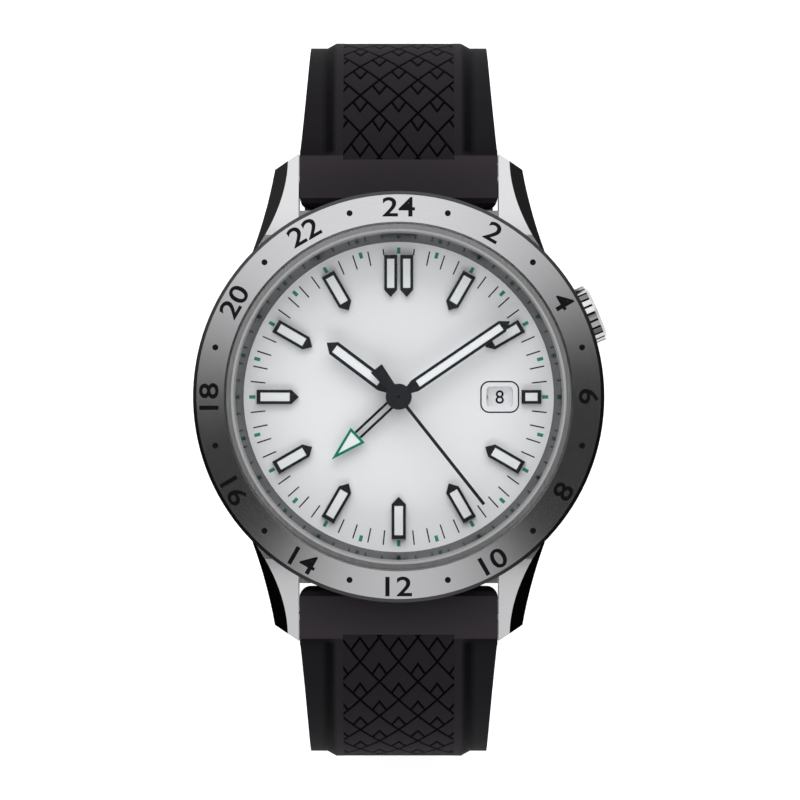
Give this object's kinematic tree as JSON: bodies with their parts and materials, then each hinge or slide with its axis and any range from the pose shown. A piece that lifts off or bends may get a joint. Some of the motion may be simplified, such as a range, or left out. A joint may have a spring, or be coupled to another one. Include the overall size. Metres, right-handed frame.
{
  "type": "world time watch",
  "caption": "Round steel wristwatch with a turning 24-hour bezel, white dial, 24-hour hand, fluted crown and a black rubber strap standing as an open loop.",
  "frame": {"origin": "centre of the case back's outer face", "axes": "+X to 3 o'clock, +Y to 12 o'clock, +Z out of the dial"},
  "size_m": [0.0414, 0.0728, 0.058],
  "materials": {
    "steel": "brushed",
    "polished_steel": "polished",
    "plate": "striped",
    "brass": "satin",
    "ruby": "polished",
    "glass": "polished",
    "black_rubber": "satin",
    "gasket_rubber": "matte",
    "dial_white": "matte",
    "black_paint": "gloss",
    "green_paint": "gloss",
    "lume": "matte"
  },
  "bodies": {
    "case": {"mid_case": "steel", "bezel_spring": "polished_steel", "crystal": "glass", "crystal_gasket": "gasket_rubber", "inner_flange": "polished_steel", "case_back": "steel", "back_glass": "glass", "glass_gasket": "gasket_rubber", "back_gasket": "gasket_rubber", "movement_holder": "plate", "crown_tube": "polished_steel", "main_plate": "plate", "barrel_bridge": "plate", "train_bridge": "plate", "balance_cock": "plate", "jewels": "ruby", "bridge_screws": "polished_steel", "barrel_arbor": "polished_steel", "hairspring": "polished_steel", "rotor_bearing": "polished_steel", "dial": "dial_white", "hour_markers": "black_paint", "marker_lume": "lume", "spring_bar_12": "steel", "spring_bar_6": "steel"},
    "bezel": {"bezel": "steel"},
    "winding_pinion": {"winding_pinion": "polished_steel"},
    "crown": {"crown": "steel", "crown_gasket": "gasket_rubber", "winding_stem": "polished_steel"},
    "seconds": {"fourth_wheel": "brass", "seconds_hand": "black_paint"},
    "minutes": {"centre_wheel": "brass", "cannon_pinion": "brass", "minute_hand": "black_paint", "minute_hand_lume": "lume"},
    "hours": {"hour_wheel": "brass", "hour_hand": "black_paint", "hour_hand_lume": "lume"},
    "day": {"day_wheel": "brass", "day_hand": "green_paint", "day_hand_lume": "lume"},
    "third_wheel": {"third_wheel": "brass"},
    "barrel": {"mainspring_barrel": "brass"},
    "escape_wheel": {"escape_wheel": "brass"},
    "minute_wheel": {"minute_wheel": "brass"},
    "day_idler": {"day_idler": "brass"},
    "pallet_fork": {"pallet_fork": "polished_steel"},
    "balance": {"balance_wheel": "brass"},
    "date_ring": {"date_ring": "plate"},
    "rotor": {"rotor": "plate"},
    "tail_strap": {"tail_strap": "black_rubber"},
    "buckle_strap": {"buckle_strap": "black_rubber", "fixed_keeper": "black_rubber", "buckle_spring_bar": "steel"},
    "sliding_keeper": {"sliding_keeper": "black_rubber"},
    "buckle_frame": {"buckle_frame": "steel"},
    "buckle_tongue": {"buckle_tongue": "steel"}
  },
  "joints": [
    {"name": "bezel_turn", "type": "hinge", "parent": "case", "child": "bezel", "pos_m": [0, 0, 0.00853], "axis": [0, 0, 1], "continuous": true},
    {"name": "crown_turn", "type": "hinge", "parent": "case", "child": "winding_pinion", "pos_m": [0.01377, 0.00596, 0.00546], "axis": [0.9178, 0.3971, 0], "continuous": true},
    {"name": "crown_pull", "type": "slide", "parent": "winding_pinion", "child": "crown", "axis": [0.9178, 0.3971, 0], "range_m": [0, 0.0012]},
    {"name": "seconds_turn", "type": "hinge", "parent": "case", "child": "seconds", "pos_m": [0, 0, 0.0033], "axis": [0, 0, 1], "continuous": true},
    {"name": "third_wheel_turn", "type": "hinge", "parent": "case", "child": "third_wheel", "pos_m": [0.00198, -0.00343, 0.0036], "axis": [0, 0, 1], "continuous": true},
    {"name": "minutes_turn", "type": "hinge", "parent": "case", "child": "minutes", "pos_m": [0, 0, 0.00446], "axis": [0, 0, 1], "continuous": true},
    {"name": "barrel_turn", "type": "hinge", "parent": "case", "child": "barrel", "pos_m": [-0.00326, 0.00564, 0.0036], "axis": [0, 0, 1], "continuous": true},
    {"name": "escape_wheel_turn", "type": "hinge", "parent": "case", "child": "escape_wheel", "pos_m": [-0.00247, -0.00295, 0.0039], "axis": [0, 0, 1], "continuous": true},
    {"name": "minute_wheel_turn", "type": "hinge", "parent": "case", "child": "minute_wheel", "pos_m": [0.00192, -0.00161, 0.00621], "axis": [0, 0, 1], "continuous": true},
    {"name": "hours_turn", "type": "hinge", "parent": "case", "child": "hours", "pos_m": [0, 0, 0.00641], "axis": [0, 0, 1], "continuous": true},
    {"name": "day_idler_turn", "type": "hinge", "parent": "case", "child": "day_idler", "pos_m": [-0.00042, 0.00236, 0.00661], "axis": [0, 0, 1], "continuous": true},
    {"name": "day_turn", "type": "hinge", "parent": "case", "child": "day", "pos_m": [0, 0, 0.00681], "axis": [0, 0, 1], "continuous": true},
    {"name": "date_ring_turn", "type": "hinge", "parent": "case", "child": "date_ring", "pos_m": [0, 0, 0.00616], "axis": [0, 0, 1], "continuous": true},
    {"name": "rotor_turn", "type": "hinge", "parent": "case", "child": "rotor", "pos_m": [0, 0, 0.00142], "axis": [0, 0, 1], "continuous": true},
    {"name": "balance_swing", "type": "hinge", "parent": "case", "child": "balance", "pos_m": [-0.00597, -0.00538, 0.0033], "axis": [0, 0, 1], "range_deg": [-270, 270]},
    {"name": "pallet_fork_rock", "type": "hinge", "parent": "case", "child": "pallet_fork", "pos_m": [-0.00457, -0.00441, 0.0039], "axis": [0, 0, 1], "range_deg": [-5, 5]},
    {"name": "tail_strap_swing", "type": "hinge", "parent": "case", "child": "tail_strap", "pos_m": [0, -0.0219, 0.0048], "axis": [-1, 0, 0], "range_deg": [0, 12]},
    {"name": "buckle_strap_swing", "type": "hinge", "parent": "case", "child": "buckle_strap", "pos_m": [0, 0.0219, 0.0048], "axis": [1, 0, 0], "range_deg": [0, 12]},
    {"name": "sliding_keeper_slide", "type": "slide", "parent": "buckle_strap", "child": "sliding_keeper", "axis": [0, 1, 0], "range_m": [0, 0.0025]},
    {"name": "buckle_frame_swing", "type": "hinge", "parent": "buckle_strap", "child": "buckle_frame", "pos_m": [0, 0.013, -0.0416], "axis": [1, 0, 0], "range_deg": [-90, 35]},
    {"name": "buckle_tongue_swing", "type": "hinge", "parent": "buckle_frame", "child": "buckle_tongue", "pos_m": [0, 0.013, -0.0416], "axis": [1, 0, 0], "range_deg": [0, 60]}
  ],
  "couplings": [
    {"joint": "third_wheel_turn", "follows": "seconds_turn", "ratio": -0.13333},
    {"joint": "minutes_turn", "follows": "seconds_turn", "ratio": 0.016667},
    {"joint": "barrel_turn", "follows": "seconds_turn", "ratio": -0.0027778},
    {"joint": "escape_wheel_turn", "follows": "seconds_turn", "ratio": -10},
    {"joint": "minute_wheel_turn", "follows": "seconds_turn", "ratio": -0.0055556},
    {"joint": "hours_turn", "follows": "seconds_turn", "ratio": 0.0013889},
    {"joint": "day_idler_turn", "follows": "seconds_turn", "ratio": -0.0013889},
    {"joint": "day_turn", "follows": "seconds_turn", "ratio": 0.00069444}
  ]
}
